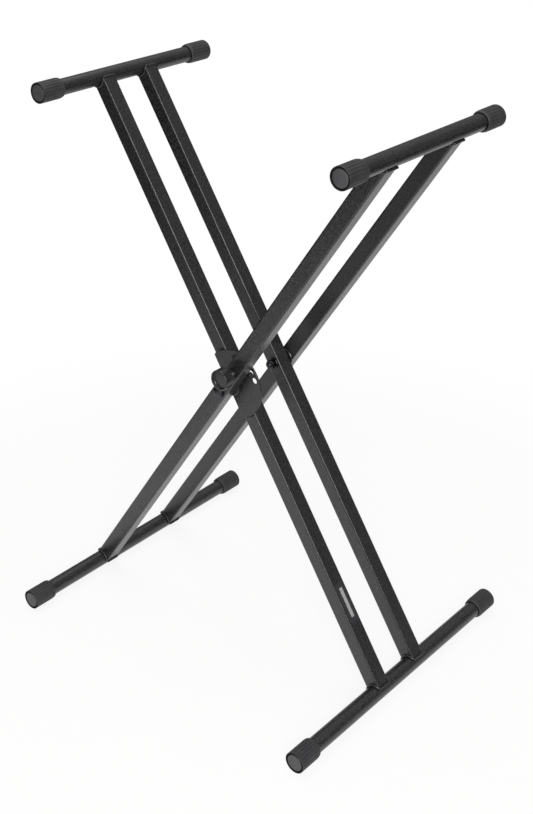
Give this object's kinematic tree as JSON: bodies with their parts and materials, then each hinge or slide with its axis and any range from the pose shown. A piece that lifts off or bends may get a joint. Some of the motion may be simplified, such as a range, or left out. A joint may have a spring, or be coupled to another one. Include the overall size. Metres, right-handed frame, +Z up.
{
  "type": "keyboard stand",
  "caption": "Folding double x stand of square steel tube, with round top and foot bars in ribbed rubber caps, a bolted pivot and a sprung pull-pin height lock.",
  "frame": {"origin": "centre of the stand on the floor, under the pivot", "axes": "+Z up; +Y along the bars, away from the side with the lock; +X towards the inner frame's foot"},
  "size_m": [0.5942, 0.5034, 0.8831],
  "materials": {
    "powder_coat": "satin black powder coat on steel",
    "cap_rubber": "matt black moulded rubber",
    "black_zinc": "black zinc plating",
    "black_nylon": "satin black nylon",
    "plated_steel": "bright zinc plating"
  },
  "bodies": {
    "inner_frame": {"inner_leg_near": "powder_coat", "inner_bush_near": "plated_steel", "inner_leg_far": "powder_coat", "inner_bush_far": "plated_steel", "inner_top_bar": "powder_coat", "inner_top_cap_near": "cap_rubber", "inner_top_cap_far": "cap_rubber", "inner_foot_bar": "powder_coat", "inner_foot_cap_near": "cap_rubber", "inner_foot_cap_far": "cap_rubber", "lock_plate": "powder_coat", "plate_weld_upper": "powder_coat", "plate_weld_lower": "powder_coat", "pivot_bolt_near": "black_zinc", "pivot_nut_near": "black_zinc", "pivot_head_washer_near": "black_zinc", "pivot_nut_washer_near": "black_zinc", "pivot_spacer_near": "black_nylon", "pivot_bolt_far": "black_zinc", "pivot_nut_far": "black_zinc", "pivot_head_washer_far": "black_zinc", "pivot_nut_washer_far": "black_zinc", "pivot_spacer_far": "black_nylon"},
    "outer_frame": {"outer_leg_near": "powder_coat", "outer_bush_near": "plated_steel", "outer_leg_far": "powder_coat", "outer_bush_far": "plated_steel", "outer_top_bar": "powder_coat", "outer_top_cap_near": "cap_rubber", "outer_top_cap_far": "cap_rubber", "outer_foot_bar": "powder_coat", "outer_foot_cap_near": "cap_rubber", "outer_foot_cap_far": "cap_rubber", "plunger_barrel": "powder_coat", "plunger_gland": "black_zinc", "plunger_spring": "plated_steel"},
    "lock_pin": {"index_pin": "plated_steel", "lock_knob": "black_nylon"}
  },
  "joints": [
    {"name": "fold", "type": "hinge", "parent": "inner_frame", "child": "outer_frame", "pos_m": [0, 0, 0.44153], "axis": [0, -1, 0], "range_deg": [-31.6, 63]},
    {"name": "lock_pull", "type": "slide", "parent": "outer_frame", "child": "lock_pin", "axis": [0, -1, 0], "range_m": [0, 0.007], "stiffness_N_per_m": 800, "springref_m": -0.01, "deforming": ["plunger_spring"]}
  ]
}
